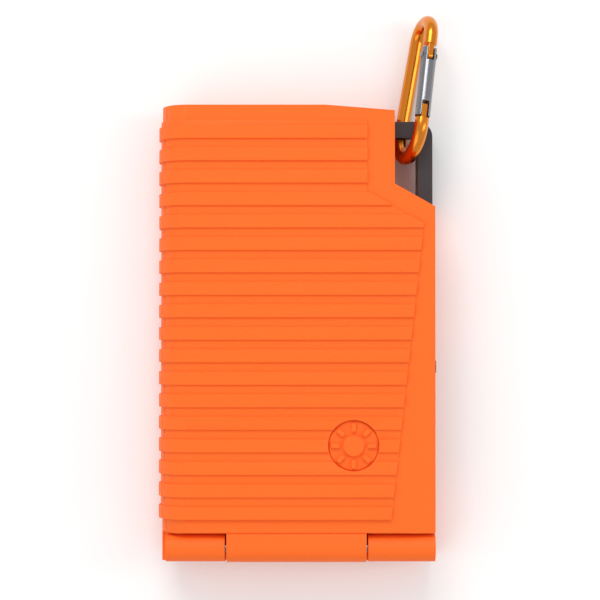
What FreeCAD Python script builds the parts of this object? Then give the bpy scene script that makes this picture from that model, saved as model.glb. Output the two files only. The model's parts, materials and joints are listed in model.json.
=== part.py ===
import FreeCAD, Part
import os
import Sketcher
from math import cos, radians, sin

# Folding solar power bank, lying on its back: +X to the right, +Y towards the carabiner, +Z up.
# The origin is on the rest plane, at the middle of the case's width and length.
doc = FreeCAD.newDocument("PowerBank")
sheet = doc.addObject("Spreadsheet::Sheet", "dims")

sizes = {
    # case
    "bodyWidth": 90, "bodyLength": 150, "bodyDepth": 23, "sideRound": 8.5, "wall": 1.6,
    "partGap": 0.3, "lidDepth": 4.65,
    # ribbed panel
    "plateauRise": 0.5, "ribRise": 0.7, "ribPitch": 7.336, "ribWidth": 4.3, "ribStart": 6.8,
    "panelTop": 4.95, "panelEnd": 14.27, "panelInset": 22.2, "panelKnee": 28.5,
    "panelFlare": 3.7, "panelHeel": 14.5,
    # corner cut-out and sloping shoulder
    "cutWidth": 13.2, "cutSide": 25.9, "cutEnd": 33.4, "shoulderWidth": 36, "shoulderDrop": 1.8,
    # hinge
    "hingeBand": 9.75, "barrelLeft": 1.7, "leftSplit": 23.6, "rightSplit": 22.7, "splitGap": 0.5,
    "knuckleTrim": 0.2, "pinRadius": 1.5, "pinLength": 16, "pinPlay": 0.05, "bushRadius": 2.4,
    "bushLength": 6.5,
    # bevelled facet beside the panel
    "facetTopInset": 0.6, "facetTopPlace": 34.3, "facetEndInset": 11.6, "facetDrop": 1.2,
    # lug
    "lugInset": 4.4, "lugBar": 5.5, "lugRail": 5, "lugSide": 0.2, "lugBack": 0.2, "lugDrop": 5.3,
    "bridgeThick": 5.7, "bridgeSet": 0.2,
    # solar panels
    "panelLeft": 9.5, "panelRight": 18.5, "panelBack": 15, "panelFore": 10, "boardThick": 1.2,
    "cellThick": 0.25, "glassThick": 0.8, "frameLedge": 2, "frameThick": 3.9, "lidFrameThick": 2.85,
    # carabiner
    "wireRadius": 2.3, "bigBend": 9.6, "smallBend": 6.6, "bendSpan": 30.3, "hookLean": 10,
    "hookTurn": 16.5, "hookInset": 7.2, "hookPlace": 7, "hookDrop": 2.1, "gateRadius": 2.5,
    "gateLow": 2.2, "gateHigh": 26, "pivotPlace": 23.4, "pivotRadius": 0.8, "tongueThick": 2,
    "forkGap": 2.4, "stubLow": 1.7, "stubHigh": 27.3,
    # fasteners and magnets
    "bossRadius": 3, "screwRadius": 1.1, "screwHead": 2, "headThick": 1.1, "screwLength": 9,
    "lidScrewRadius": 0.8, "lidScrewHead": 1.6, "sealReach": 1.8, "sealInner": 1, "screwEdge": 9, "screwFoot": 15,
    "screwLow": 19, "screwHigh": 39, "screwTop": 5.5, "magnetRadius": 2.5, "magnetThick": 1.8,
    "magnetInset": 9, "magnetShift": 2, "magnetFoot": 30, "magnetHead": 60,
    # ports and button
    "portFrom": 25, "portLength": 46, "portBelow": 1.6, "portAbove": 7.4, "flapThick": 1, "flapGap": 0.3,
    "nearSocket": 9, "farSocket": 26, "microSocket": 39, "buttonGap": 16, "buttonAbove": 1.8,
    "buttonRadius": 3.3, "buttonPlay": 0.3, "buttonTravel": 0.6, "buttonProud": 0.7,
    "lightRadius": 0.9, "lightPitch": 3, "plungerSet": 3.6,
    # electronics
    "circuitThick": 1.6, "circuitDrop": 10.2, "circuitWidth": 15, "circuitFoot": 20,
    "circuitHead": 44, "batteryInset": 15, "batteryBetween": 4, "batteryGap": 1, "batteryOver": 2.3,
    # emblem
    "emblemRadius": 8, "emblemPlace": 18.2, "emblemRise": 38.4, "emblemSink": 0.4, "emblemGap": 0.35,
    "coreRadius": 3.4, "rayFrom": 4.6, "rayLong": 2.8, "rayWide": 1.5,
}
rayCount = 8
for row, (word, amount) in enumerate(sizes.items(), start=1):
    sheet.set(f"A{row}", word)
    sheet.set(f"B{row}", str(amount))
    sheet.setAlias(f"B{row}", word)
doc.recompute()

# The case's own places, as expressions of the sheet.
right = "(dims.bodyWidth / 2)"
left = "(-dims.bodyWidth / 2)"
head = "(dims.bodyLength / 2)"
foot = "(-dims.bodyLength / 2)"
rise = "(dims.plateauRise + dims.ribRise)"
back = rise
front = f"({back} + dims.bodyDepth)"
middle = f"({back} + dims.bodyDepth / 2)"
parting = f"({front} - dims.lidDepth)"
lidLow = f"({parting} + dims.partGap / 2)"
baseTop = f"({parting} - dims.partGap / 2)"
coverEnd = f"({foot} + dims.hingeBand)"
axisPlace = f"({foot} + dims.lidDepth)"
circuitTop = f"({baseTop} - dims.circuitDrop)"
lugLow = f"({back} + dims.wall + dims.lugBack)"
lugFront = f"({baseTop} - dims.lugDrop)"
bridgeHigh = f"({lugFront} - dims.bridgeSet)"
bridgeLow = f"({bridgeHigh} - dims.bridgeThick)"
far = "(dims.bodyWidth * 2)"


def amountOf(expression):
    """The number that an expression of the sheet comes to now."""
    found = sheet.evalExpression(expression)
    return float(getattr(found, "Value", found))


def bind(thing, **bound):
    for name, expression in bound.items():
        thing.setExpression(name, str(expression))
    return thing


def place(thing, x=0, y=0, z=0):
    thing.setExpression("Placement.Base.x", str(x))
    thing.setExpression("Placement.Base.y", str(y))
    thing.setExpression("Placement.Base.z", str(z))
    return thing


def box(name, x, y, z):
    """A box between two places on each axis, given as pairs of expressions."""
    made = doc.addObject("Part::Box", name)
    bind(made, Length=f"({x[1]}) - ({x[0]})", Width=f"({y[1]}) - ({y[0]})", Height=f"({z[1]}) - ({z[0]})")
    return place(made, x[0], y[0], z[0])


def cylinder(name, radius, length, at, along="Z"):
    """A cylinder that starts at a place and runs along +X, +Y or +Z."""
    made = doc.addObject("Part::Cylinder", name)
    bind(made, Radius=radius, Height=length)
    turns = {"X": ((0, 1, 0), 90), "Y": ((1, 0, 0), -90), "Z": ((0, 0, 1), 0)}
    axis, angle = turns[along]
    made.Placement.Rotation = FreeCAD.Rotation(FreeCAD.Vector(*axis), angle)
    return place(made, *at)


def fuse(name, *pieces):
    made = doc.addObject("Part::MultiFuse", name)
    made.Shapes = list(pieces)
    made.Refine = True
    return made


def common(name, *pieces):
    made = doc.addObject("Part::MultiCommon", name)
    made.Shapes = list(pieces)
    made.Refine = True
    return made


def cut(name, base, *tools):
    made = doc.addObject("Part::Cut", name)
    made.Base = base
    made.Tool = tools[0] if len(tools) == 1 else fuse(name + "Tools", *tools)
    made.Refine = True
    return made


def group(name, *pieces):
    """Separate solids that share one node."""
    made = doc.addObject("Part::Compound", name)
    made.Links = list(pieces)
    return made


def prism(name, corners, low, high):
    """A polygon in plan, as a bound sketch, carried from one height to another."""
    sketch = doc.addObject("Sketcher::SketchObject", name + "Plan")
    places = [FreeCAD.Vector(amountOf(x), amountOf(y), 0) for x, y in corners]
    count = len(places)
    lines = [Part.LineSegment(places[i], places[(i + 1) % count]) for i in range(count)]
    sketch.addGeometry(lines, False)
    for i in range(count):
        sketch.addConstraint(Sketcher.Constraint("Coincident", i, 2, (i + 1) % count, 1))
    for i, (x, y) in enumerate(corners):
        for kind, expression, amount in (("DistanceX", x, places[i].x), ("DistanceY", y, places[i].y)):
            index = sketch.addConstraint(Sketcher.Constraint(kind, -1, 1, i, 1, amount))
            sketch.setExpression(f"Constraints[{index}]", expression)
    place(sketch, 0, 0, low)
    made = doc.addObject("Part::Extrusion", name)
    made.Base = sketch
    made.DirMode = "Custom"
    made.Dir = FreeCAD.Vector(0, 0, 1)
    made.Solid = True
    bind(made, LengthFwd=f"({high}) - ({low})")
    return made


nodes = []


def node(name, made):
    made.Label = name
    nodes.append(made)
    return made


# ---- outer form --------------------------------------------------------------------------------

cutSlope = "((dims.cutEnd - dims.cutSide) / dims.cutWidth)"


def slab(name, grow):
    """The case's cross-section, an ellipse on the left and flat on the right, along its length."""
    tube = doc.addObject("Part::Ellipse", name + "Ellipse")
    bind(tube, MajorRadius=f"dims.bodyDepth / 2 + {grow}", MinorRadius=f"dims.sideRound + {grow}")
    tube.Placement.Rotation = FreeCAD.Rotation(
        FreeCAD.Vector(0, 0, 1), FreeCAD.Vector(1, 0, 0), FreeCAD.Vector(0, -1, 0), "ZXY")
    place(tube, f"{left} + dims.sideRound", foot, middle)
    spine = doc.addObject("Part::Extrusion", name + "Side")
    spine.Base = tube
    spine.DirMode = "Custom"
    spine.Dir = FreeCAD.Vector(0, 1, 0)
    spine.Solid = True
    bind(spine, LengthFwd="dims.bodyLength")
    flat = box(name + "Flat", (f"{left} + dims.sideRound", f"{right} + min(0; {grow})"), (foot, head),
               (f"{back} - ({grow})", f"{front} + {grow}"))
    return fuse(name, spine, flat)


def outline(name, inset):
    """The case in plan, with its cut-out corner, moved inwards by a wall."""
    slant = f"sqrt(1 + {cutSlope} ^ 2)"
    edge = f"({right} - dims.cutWidth - {inset})"
    corners = [
        (f"{left} - dims.bodyWidth", f"{foot} + {inset}"),
        (f"{right} - {inset}", f"{foot} + {inset}"),
        (f"{right} - {inset}", f"{head} - dims.cutEnd - {inset} * ({slant} - {cutSlope})"),
        (edge, f"{head} - dims.cutSide - {inset} * ({slant} - {cutSlope})"),
        (edge, f"{head} - dims.shoulderDrop - {inset}"),
        (f"{right} - dims.shoulderWidth", f"{head} - {inset}"),
        (f"{left} - dims.bodyWidth", f"{head} - {inset}"),
    ]
    return prism(name, corners, f"{back} - dims.bodyDepth", f"{front} + dims.bodyDepth")


slopeTop = f"({head} - dims.panelKnee)"
panelPlan = prism("panelPlan", [
    (f"{left} - dims.bodyWidth", f"{foot} + dims.panelEnd"),
    (f"{right} - dims.panelHeel", f"{foot} + dims.panelEnd"),
    (f"{right} - dims.panelFlare", f"{slopeTop} - (dims.panelInset - dims.panelFlare) * {cutSlope}"),
    (f"{right} - dims.panelInset", slopeTop),
    (f"{right} - dims.panelInset", f"{head} - dims.panelTop"),
    (f"{left} - dims.bodyWidth", f"{head} - dims.panelTop"),
], f"{back} - dims.bodyDepth", f"{front} + dims.bodyDepth")
ribCount = int(amountOf("(dims.bodyLength - dims.ribStart - dims.panelEnd) / dims.ribPitch")) + 1
bands = []
for number in range(ribCount):
    top = f"({head} - dims.ribStart - dims.ribPitch * {number})"
    bands.append(box(f"band{number}", (f"-{far}", far), (f"{top} - dims.ribWidth", top), ("-10", far)))
plateau = common("plateau", slab("plateauSlab", "dims.plateauRise"), panelPlan)
ribs = common("ribs", slab("ribSlab", rise), panelPlan, fuse("bands", *bands))
ribbed = fuse("ribbedCase", slab("borderSlab", "0"), plateau, ribs)
closed = common("closedCase", ribbed, outline("casePlan", "0"))
hollow = common("hollow", slab("hollowSlab", "-dims.wall"), outline("hollowPlan", "dims.wall"))

# ---- hinge -------------------------------------------------------------------------------------
barrelFrom = f"({left} + dims.barrelLeft)"
leftSplit = "(-dims.leftSplit)"
rightSplit = "dims.rightSplit"
outerLeft = f"({leftSplit} - dims.splitGap / 2)"
innerLeft = f"({leftSplit} + dims.splitGap / 2)"
innerRight = f"({rightSplit} - dims.splitGap / 2)"
outerRight = f"({rightSplit} + dims.splitGap / 2)"
knuckleRadius = "(dims.lidDepth - dims.knuckleTrim)"
notchLow = f"({parting} - dims.lidDepth - dims.partGap)"


def outerKnuckle(name, x):
    barrel = cylinder(name + "Barrel", knuckleRadius, f"{x[1]} - {x[0]}", (x[0], axisPlace, parting), "X")
    web = box(name + "Web", x, (axisPlace, f"{coverEnd} + dims.wall"), (notchLow, baseTop))
    seat = box(name + "Seat", x, (axisPlace + " - dims.lidDepth / 2", axisPlace), (notchLow, parting))
    return fuse(name, barrel, web, seat)


pinGrip = "6"
pinFrom = f"({leftSplit} - dims.pinLength + {pinGrip})"
pinTo = f"({rightSplit} + dims.pinLength - {pinGrip})"


def pinHole(name, radius):
    return cylinder(name, radius, f"{pinTo} - {pinFrom}", (pinFrom, axisPlace, parting), "X")


screwLeft = f"({left} + dims.panelLeft - dims.sealReach - dims.screwHead)"
screwRight = f"({right} - dims.screwEdge)"
screwLow = f"({foot} + dims.screwLow)"
screwHigh = f"({head} - dims.screwEdge)"
screwPlaces = [
    (screwLeft, screwLow), (screwLeft, f"(({screwLow} + {screwHigh}) / 2)"), (screwLeft, screwHigh),
    (screwRight, f"({foot} + dims.screwFoot)"), (screwRight, f"({head} - dims.screwHigh)"),
    ("0", f"({head} - dims.screwTop)"),
]
frameLow = f"({baseTop} - dims.frameThick)"
floorTop = f"({back} + dims.wall)"
lidFrameTop = f"({lidLow} + dims.lidFrameThick)"
lidRoof = f"({front} - dims.wall)"

# ---- base shell --------------------------------------------------------------------------------
lugEdge = f"({right} - dims.lugSide)"
railFrom = f"({lugEdge} - dims.lugRail)"
lugTop = f"({head} - dims.lugInset)"
lugFoot = f"({head} - dims.cutEnd - dims.wall * 2)"
bridgeFrom = f"({right} - dims.cutWidth - dims.wall * 1.5)"
rail = box("rail", (railFrom, lugEdge), (lugFoot, f"{lugTop} - dims.lugRail"), (lugLow, lugFront))
bridge = box("bridge", (bridgeFrom, railFrom), (f"{lugTop} - dims.lugBar", lugTop),
             (bridgeLow, bridgeHigh))
cornerRound = cylinder("cornerRound", "dims.lugRail", f"{lugFront} - {lugLow}",
                       (railFrom, f"{lugTop} - dims.lugRail", lugLow))
cornerSquare = box("cornerSquare", (railFrom, lugEdge), (f"{lugTop} - dims.lugRail", lugTop),
                   (lugLow, lugFront))
lugFillet = box("lugFillet", (railFrom, f"{railFrom} + dims.wall"),
                (f"{lugTop} - dims.lugBar", f"{lugTop} - dims.lugRail"), (lugLow, lugFront))
lug = fuse("lug", rail, bridge, lugFillet, common("lugCorner", cornerRound, cornerSquare))

baseBlock = box("baseBlock", (f"-{far}", far), (foot, head), ("-10", baseTop))
hingeNotch = box("hingeNotch", (f"-{far}", far), (f"{foot} - 10", coverEnd), (notchLow, f"{front} + 10"))
baseFloorHollow = box("baseHollow", (f"-{far}", far), (f"{foot} + dims.wall", f"{coverEnd} + dims.wall"),
                      ("-10", f"{notchLow} - dims.wall"))
baseMainHollow = box("baseMainHollow", (f"-{far}", far), (f"{coverEnd} + dims.wall", head),
                     ("-10", f"{front} + 10"))
baseHollow = common("baseInside", hollow, fuse("baseReach", baseFloorHollow, baseMainHollow))
baseOuter = common("baseOuter", cut("notched", closed, hingeNotch), baseBlock)
leftKnuckle = outerKnuckle("leftKnuckle", (barrelFrom, outerLeft))
rightKnuckle = outerKnuckle("rightKnuckle", (outerRight, right))
bosses = []
bossBores = []
for number, (x, y) in enumerate(screwPlaces):
    bosses.append(cylinder(f"boss{number}", "dims.bossRadius", f"{frameLow} - {floorTop}", (x, y, floorTop)))
    bossBores.append(cylinder(f"bossBore{number}", "dims.screwRadius", f"{frameLow} - {floorTop}",
                              (x, y, f"{floorTop} + dims.wall")))
bossPosts = common("bossPosts", fuse("bossSet", *bosses), outline("bossPlan", "dims.wall / 2"),
                   slab("bossSlab", "-dims.wall / 2"))
portFrom = f"({foot} + dims.portFrom)"
portTo = f"({portFrom} + dims.portLength)"
portLow = f"({circuitTop} - dims.portBelow)"
portHigh = f"({circuitTop} + dims.portAbove)"
portRecess = box("portRecess", (f"{right} - dims.flapThick", f"{right} + 1"), (portFrom, portTo),
                 (portLow, portHigh))
socketMiddle = {which: f"({portFrom} + dims.{which}Socket)" for which in ("near", "far", "micro")}
socketSize = {"near": ("13.1", "5.7"), "far": ("13.1", "5.7"), "micro": ("7.6", "3")}


def socketBox(name, which, x, grow):
    wide, high = socketSize[which]
    y = socketMiddle[which]
    return box(name, x, (f"{y} - {wide} / 2 - {grow}", f"{y} + {wide} / 2 + {grow}"),
               (f"{circuitTop} - {grow}", f"{circuitTop} + {high} + {grow}"))


socketHoles = [socketBox(f"{which}Hole", which, (f"{right} - dims.wall * 2", f"{right} + 1"), "0.1")
               for which in socketMiddle]
buttonY = f"({portTo} + dims.buttonGap)"
buttonZ = f"({circuitTop} + dims.buttonAbove)"
buttonHole = cylinder("buttonHole", "dims.buttonRadius + dims.buttonPlay", "dims.wall * 4",
                      (f"{right} - dims.wall * 2", buttonY, buttonZ), "X")
lightPlaces = [f"({buttonY} + dims.buttonRadius + {number + 1} * dims.lightPitch)" for number in range(4)]
lightHoles = [cylinder(f"lightHole{number}", "dims.lightRadius", "dims.wall * 4",
                       (f"{right} - dims.wall * 2", y, buttonZ), "X")
              for number, y in enumerate(lightPlaces)]
baseShell = cut("baseShell", fuse("baseBody", cut("baseWalls", baseOuter, baseHollow), leftKnuckle,
                                  rightKnuckle, bossPosts),
                *bossBores, pinHole("basePinHole", "dims.pinRadius"), portRecess, *socketHoles,
                buttonHole, *lightHoles, lug)
node("base_shell", baseShell)

# ---- lid shell ---------------------------------------------------------------------------------
lidBlock = box("lidBlock", (f"-{far}", far), (coverEnd, head), (lidLow, f"{front} + 10"))
lidHollow = common("lidInside", hollow, box("lidReach", (f"-{far}", far), (f"{coverEnd} + dims.wall", head),
                                            ("-10", f"{front} + 10")))
middleBarrel = cylinder("middleBarrel", "dims.lidDepth", f"{innerRight} - {innerLeft}",
                        (innerLeft, axisPlace, parting), "X")
middleBlock = box("middleBlock", (innerLeft, innerRight), (axisPlace, f"{coverEnd} + dims.wall"),
                  (lidLow, front))
seamGroove = box("seamGroove", (f"-{far}", far), (f"{coverEnd} - 0.2", f"{coverEnd} + 0.2"),
                 (f"{front} - 0.4", f"{front} + 10"))
emblemAt = ("dims.emblemPlace", f"({foot} + dims.emblemRise)", f"({front} - dims.emblemSink)")
emblemRecess = cylinder("emblemRecess", "dims.emblemRadius + dims.emblemGap", "10", emblemAt)
bushHoles = [cylinder("bushHole" + name, "dims.bushRadius", "dims.bushLength", (x, axisPlace, parting), "X")
             for name, x in (("Left", innerLeft), ("Right", f"({innerRight} - dims.bushLength)"))]


def facetCut(name):
    """A block whose under side is the sloping facet beside the panel."""
    top = FreeCAD.Vector(amountOf(f"{right} - dims.facetTopInset"), amountOf(f"{head} - dims.facetTopPlace"),
                         amountOf(front))
    low = FreeCAD.Vector(amountOf(f"{right} - dims.facetEndInset"), amountOf(foot), amountOf(front))
    rim = FreeCAD.Vector(amountOf(right), amountOf(foot), amountOf(f"{front} - dims.facetDrop"))
    long = (top - low).normalize()
    normal = (rim - low).cross(top - low).normalize()
    made = doc.addObject("Part::Box", name)
    bind(made, Length=far, Width=f"{far} * 2", Height=far)
    turn = FreeCAD.Rotation(long.cross(normal), long, normal, "ZYX")
    made.Placement = FreeCAD.Placement(low - long * amountOf(far), turn)
    return made


lidBody = fuse("lidBody", cut("lidWalls", common("lidOuter", closed, lidBlock), lidHollow), middleBarrel,
               middleBlock)
lidHeads = [cylinder(f"lidHeadSeat{number}", "dims.lidScrewHead", "1.8", (x, y, f"{lidLow} - 1"))
            for number, (x, y) in enumerate(screwPlaces)]
lidBoreLength = f"{lidRoof} + dims.wall / 2 - {lidLow}"
lidScrewBores = [cylinder(f"lidBore{number}", "dims.lidScrewRadius", lidBoreLength, (x, y, lidLow))
                 for number, (x, y) in enumerate(screwPlaces)]
node("lid_shell", cut("lidShell", lidBody, facetCut("facetCut"), seamGroove, emblemRecess, *bushHoles,
                      *lidScrewBores, *lidHeads))

# ---- frames and solar panels -------------------------------------------------------------------
panelX = (f"({left} + dims.panelLeft)", f"({right} - dims.panelRight)")
panelY = (f"({foot} + dims.panelBack)", f"({head} - dims.panelFore)")
stack = "(dims.glassThick + dims.cellThick + dims.boardThick)"
ledgeX = (f"({panelX[0]} + dims.frameLedge)", f"({panelX[1]} - dims.frameLedge)")
ledgeY = (f"({panelY[0]} + dims.frameLedge)", f"({panelY[1]} - dims.frameLedge)")
magnetX = f"({right} - dims.magnetInset)"
magnetLow = f"({foot} + dims.magnetFoot)"
magnetHigh = f"({head} - dims.magnetHead)"
magnetHalf = f"(({magnetLow} + {magnetHigh}) / 2)"
magnetPlaces = [(magnetX, magnetLow), (f"({magnetX} + dims.magnetShift)", magnetHalf), (magnetX, magnetHigh)]


def seats(name, low, high, radius):
    return [cylinder(f"{name}{number}", radius, f"({high}) - ({low})", (x, y, low))
            for number, (x, y) in enumerate(magnetPlaces)]


insideOfCover = box("insideOfCover", (f"-{far}", far), (f"{coverEnd} + dims.wall", head), ("-10", far))
framePlan = common("framePlan", hollow, insideOfCover)
baseFramePlate = common("baseFramePlate", framePlan, box("baseFrameLevel", (f"-{far}", far), (foot, head),
                                                         (frameLow, baseTop)))
basePocket = box("basePocket", panelX, panelY, (f"{baseTop} - {stack}", f"{baseTop} + 1"))
baseLedge = box("baseLedge", ledgeX, ledgeY, (f"{frameLow} - 1", baseTop))
lugRoot = box("lugRoot", (f"{right} - dims.cutWidth - dims.wall * 3", f"{right} - dims.cutWidth - dims.wall"),
              (f"{lugTop} - dims.lugBar", lugTop), (bridgeLow, f"{frameLow} + dims.wall"))
railRoot = box("railRoot", (railFrom, f"{lugEdge} - dims.wall"), (f"{lugFoot} - dims.wall * 1.5", lugFoot),
               (lugLow, f"{frameLow} + dims.wall"))
screwHeads = [cylinder(f"headSeat{number}", "dims.screwHead", "2", (x, y, f"{baseTop} - 1.2"))
              for number, (x, y) in enumerate(screwPlaces)]
screwThrough = [cylinder(f"frameBore{number}", "dims.screwRadius", far, (x, y, "-10"))
                for number, (x, y) in enumerate(screwPlaces)]
sealOuter = box("sealOuter", (f"{panelX[0]} - dims.sealReach", f"{panelX[1]} + dims.sealReach"),
                (f"{panelY[0]} - dims.sealReach", f"{panelY[1]} + dims.sealReach"),
                (f"{baseTop} - 0.9", f"{baseTop} - 0.05"))
sealInner = box("sealInner", (f"{panelX[0]} - dims.sealInner", f"{panelX[1]} + dims.sealInner"),
                (f"{panelY[0]} - dims.sealInner", f"{panelY[1]} + dims.sealInner"),
                (f"{baseTop} - 1.9", f"{baseTop} + 1"))
sealRing = cut("sealRing", sealOuter, sealInner)
baseMagnetSeats = seats("baseMagnetSeat", f"{baseTop} - dims.magnetThick - 0.1", f"{baseTop} + 1",
                        "dims.magnetRadius")
baseFrameBody = fuse("baseFrameBody", baseFramePlate, lug, lugRoot, railRoot)
node("base_frame", cut("baseFrame", baseFrameBody, basePocket, baseLedge, *screwHeads, *screwThrough,
                       sealRing, *baseMagnetSeats))
node("case_seal", group("caseSeal", sealRing))
lidFramePlate = common("lidFramePlate", framePlan, box("lidFrameLevel", (f"-{far}", far), (foot, head),
                                                       (lidLow, lidFrameTop)))
lidPocket = box("lidPocket", panelX, panelY, (f"{lidLow} - 1", f"{lidLow} + {stack}"))
lidLedge = box("lidLedge", ledgeX, ledgeY, (f"{lidLow} - 1", f"{front} + 1"))
lidThrough = [cylinder(f"lidFrameBore{number}", "dims.lidScrewRadius", far, (x, y, "0"))
              for number, (x, y) in enumerate(screwPlaces)]
lidMagnetSeats = seats("lidMagnetSeat", f"{lidLow} - 1", f"{lidLow} + dims.magnetThick + 0.1",
                       "dims.magnetRadius")
node("lid_frame", cut("lidFrame", lidFramePlate, lidPocket, lidLedge, *lidHeads, *lidThrough,
                      *lidMagnetSeats))


def solarPanel(prefix, face, sign):
    """Cover glass, cells and board, stacked from the open face inwards."""
    def layer(name, inset, start, thick):
        ends = [f"{face} + ({sign}) * ({start})", f"{face} + ({sign}) * ({start} + {thick})"]
        return box(name, (f"{panelX[0]} + {inset}", f"{panelX[1]} - {inset}"),
                   (f"{panelY[0]} + {inset}", f"{panelY[1]} - {inset}"), ends[::sign])
    node(prefix + "_solar_glass", layer(prefix + "Glass", "0.1", "0", "dims.glassThick"))
    node(prefix + "_solar_board", layer(prefix + "Board", "0.1", "dims.glassThick + dims.cellThick",
                                        "dims.boardThick"))
    sheetOfCells = layer(prefix + "CellSheet", "2", "dims.glassThick", "dims.cellThick")
    low = amountOf(f"{face} + ({sign}) * (dims.glassThick + dims.cellThick / 2)") - 1
    across = f"(({panelX[1]} - {panelX[0]}) / 2)"
    along = f"(({panelY[1]} - {panelY[0]}) / 4)"
    kerfs = [box(prefix + "KerfLong", (f"{panelX[0]} + {across} - 0.4", f"{panelX[0]} + {across} + 0.4"),
                 panelY, (low, low + 2))]
    for number in (1, 2, 3):
        y = f"({panelY[0]} + {along} * {number})"
        kerfs.append(box(f"{prefix}Kerf{number}", panelX, (f"{y} - 0.4", f"{y} + 0.4"), (low, low + 2)))
    node(prefix + "_solar_cells", cut(prefix + "Cells", sheetOfCells, *kerfs))


solarPanel("base", baseTop, -1)
solarPanel("lid", lidLow, 1)

# ---- fasteners, magnets and hinge pins ---------------------------------------------------------
baseScrews = []
lidScrews = []
for number, (x, y) in enumerate(screwPlaces):
    baseHead = cylinder(f"baseHead{number}", "dims.screwHead", "dims.headThick", (x, y, f"{baseTop} - 1.2"))
    shank = cylinder(f"baseShank{number}", "dims.screwRadius", "dims.screwLength",
                     (x, y, f"{baseTop} - 1.2 - dims.screwLength"))
    socket = cylinder(f"baseSocket{number}", "0.8", "1", (x, y, f"{baseTop} - 0.8"))
    baseScrews.append(cut(f"baseScrew{number}", fuse(f"baseBolt{number}", baseHead, shank), socket))
    lidHead = cylinder(f"lidHead{number}", "dims.lidScrewHead", "0.7", (x, y, f"{lidLow} + 0.1"))
    lidShank = cylinder(f"lidShank{number}", "dims.lidScrewRadius", f"{lidRoof} + 0.7 - {lidLow} - 0.8",
                        (x, y, f"{lidLow} + 0.8"))
    lidSocket = cylinder(f"lidSocket{number}", "0.6", "0.5", (x, y, f"{lidLow} + 0.05"))
    lidScrews.append(cut(f"lidScrew{number}", fuse(f"lidBolt{number}", lidHead, lidShank), lidSocket))
node("base_screws", group("baseScrews", *baseScrews))
node("lid_screws", group("lidScrews", *lidScrews))
node("base_magnets", group("baseMagnets", *seats("baseMagnet", f"{baseTop} - dims.magnetThick - 0.1",
                                                 f"{baseTop} - 0.1", "dims.magnetRadius")))
node("lid_magnets", group("lidMagnets", *seats("lidMagnet", f"{lidLow} + 0.1",
                                               f"{lidLow} + dims.magnetThick + 0.1", "dims.magnetRadius")))
node("hinge_pin_left", cylinder("pinLeft", "dims.pinRadius", "dims.pinLength",
                                (pinFrom, axisPlace, parting), "X"))
node("hinge_pin_right", cylinder("pinRight", "dims.pinRadius", "dims.pinLength",
                                 (f"{pinTo} - dims.pinLength", axisPlace, parting), "X"))
bushes = []
for name, x in (("Left", innerLeft), ("Right", f"{innerRight} - dims.bushLength")):
    sleeve = cylinder("bush" + name, "dims.bushRadius", "dims.bushLength", (x, axisPlace, parting), "X")
    bushes.append(cut("sleeve" + name, sleeve, pinHole("bushBore" + name, "dims.pinRadius + dims.pinPlay")))
node("hinge_bushes", group("hingeBushes", *bushes))

# ---- battery and electronics -------------------------------------------------------------------
batteryX = (f"({panelX[0]} + dims.batteryGap)", f"({panelX[1]} - dims.batteryGap)")
batteryLow = f"({floorTop} + dims.batteryGap)"
batteryHigh = f"({frameLow} - dims.batteryOver)"
batteryLength = "((dims.bodyLength - dims.batteryInset * 2 - dims.batteryBetween) / 2)"
firstBattery = f"({foot} + dims.batteryInset)"
secondBattery = f"({firstBattery} + {batteryLength} + dims.batteryBetween)"


def battery(name, y):
    """A flat pouch cell with its upright edges rounded."""
    bare = box(name + "Pack", batteryX, (y, f"{y} + {batteryLength}"), (batteryLow, batteryHigh))
    made = doc.addObject("Part::Fillet", name)
    made.Base = bare
    doc.recompute()
    upright = [index + 1 for index, edge in enumerate(bare.Shape.Edges)
               if abs(edge.tangentAt(edge.FirstParameter).z) > 0.9]
    made.Edges = [(index, 2.0, 2.0) for index in upright]
    return made


node("battery_cell_lower", battery("batteryLower", firstBattery))
node("battery_cell_upper", battery("batteryUpper", secondBattery))
foamX = (f"{batteryX[0]} + 6", f"{batteryX[1]} - 6")
node("battery_foam", group("batteryFoam", *[
    box(f"foam{number}", foamX, (f"{y} + 6", f"{y} + {batteryLength} - 6"), (floorTop, batteryLow))
    for number, y in enumerate((firstBattery, secondBattery))]))
circuitX = (f"({right} - dims.wall - 0.4 - dims.circuitWidth)", f"({right} - dims.wall - 0.4)")
circuitY = (f"({foot} + dims.circuitFoot)", f"({head} - dims.circuitHead)")
circuitLow = f"({circuitTop} - dims.circuitThick)"
buttonNotch = box("buttonNotch", (f"{circuitX[1]} - 1.4", f"{right}"),
                  (f"{buttonY} - dims.buttonRadius - 1.5", f"{buttonY} + dims.buttonRadius + 1.5"),
                  (f"{circuitLow} - 1", f"{circuitTop} + 1"))
node("circuit_board", cut("circuitBoard", box("circuitBlank", circuitX, circuitY, (circuitLow, circuitTop)),
                          buttonNotch))
socketX = (f"({right} - dims.wall - 10.4)", f"({right} - dims.flapThick - dims.flapGap)")
labels = {"near": "usb_a_socket_near", "far": "usb_a_socket_far", "micro": "micro_usb_socket"}
for which, label in labels.items():
    wide, high = socketSize[which]
    y = socketMiddle[which]
    shellBox = socketBox(which + "Shell", which, socketX, "0")
    inside = socketBox(which + "Inside", which, (f"{socketX[0]} + 0.6", f"{socketX[1]} + 1"), "-0.35")
    tongueHigh = "0.9" if which == "micro" else "1.8"
    tongueAt = f"({circuitTop} + {high} / 2)"
    tongue = box(which + "Tongue", (f"{socketX[0]} + 0.3", f"{socketX[1]} - 1"),
                 (f"{y} - {wide} * 0.4", f"{y} + {wide} * 0.4"),
                 (f"{tongueAt} - {tongueHigh} / 2", f"{tongueAt} + {tongueHigh} / 2"))
    node(label, fuse(which + "Socket", cut(which + "Can", shellBox, inside), tongue))
chips = []
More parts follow.
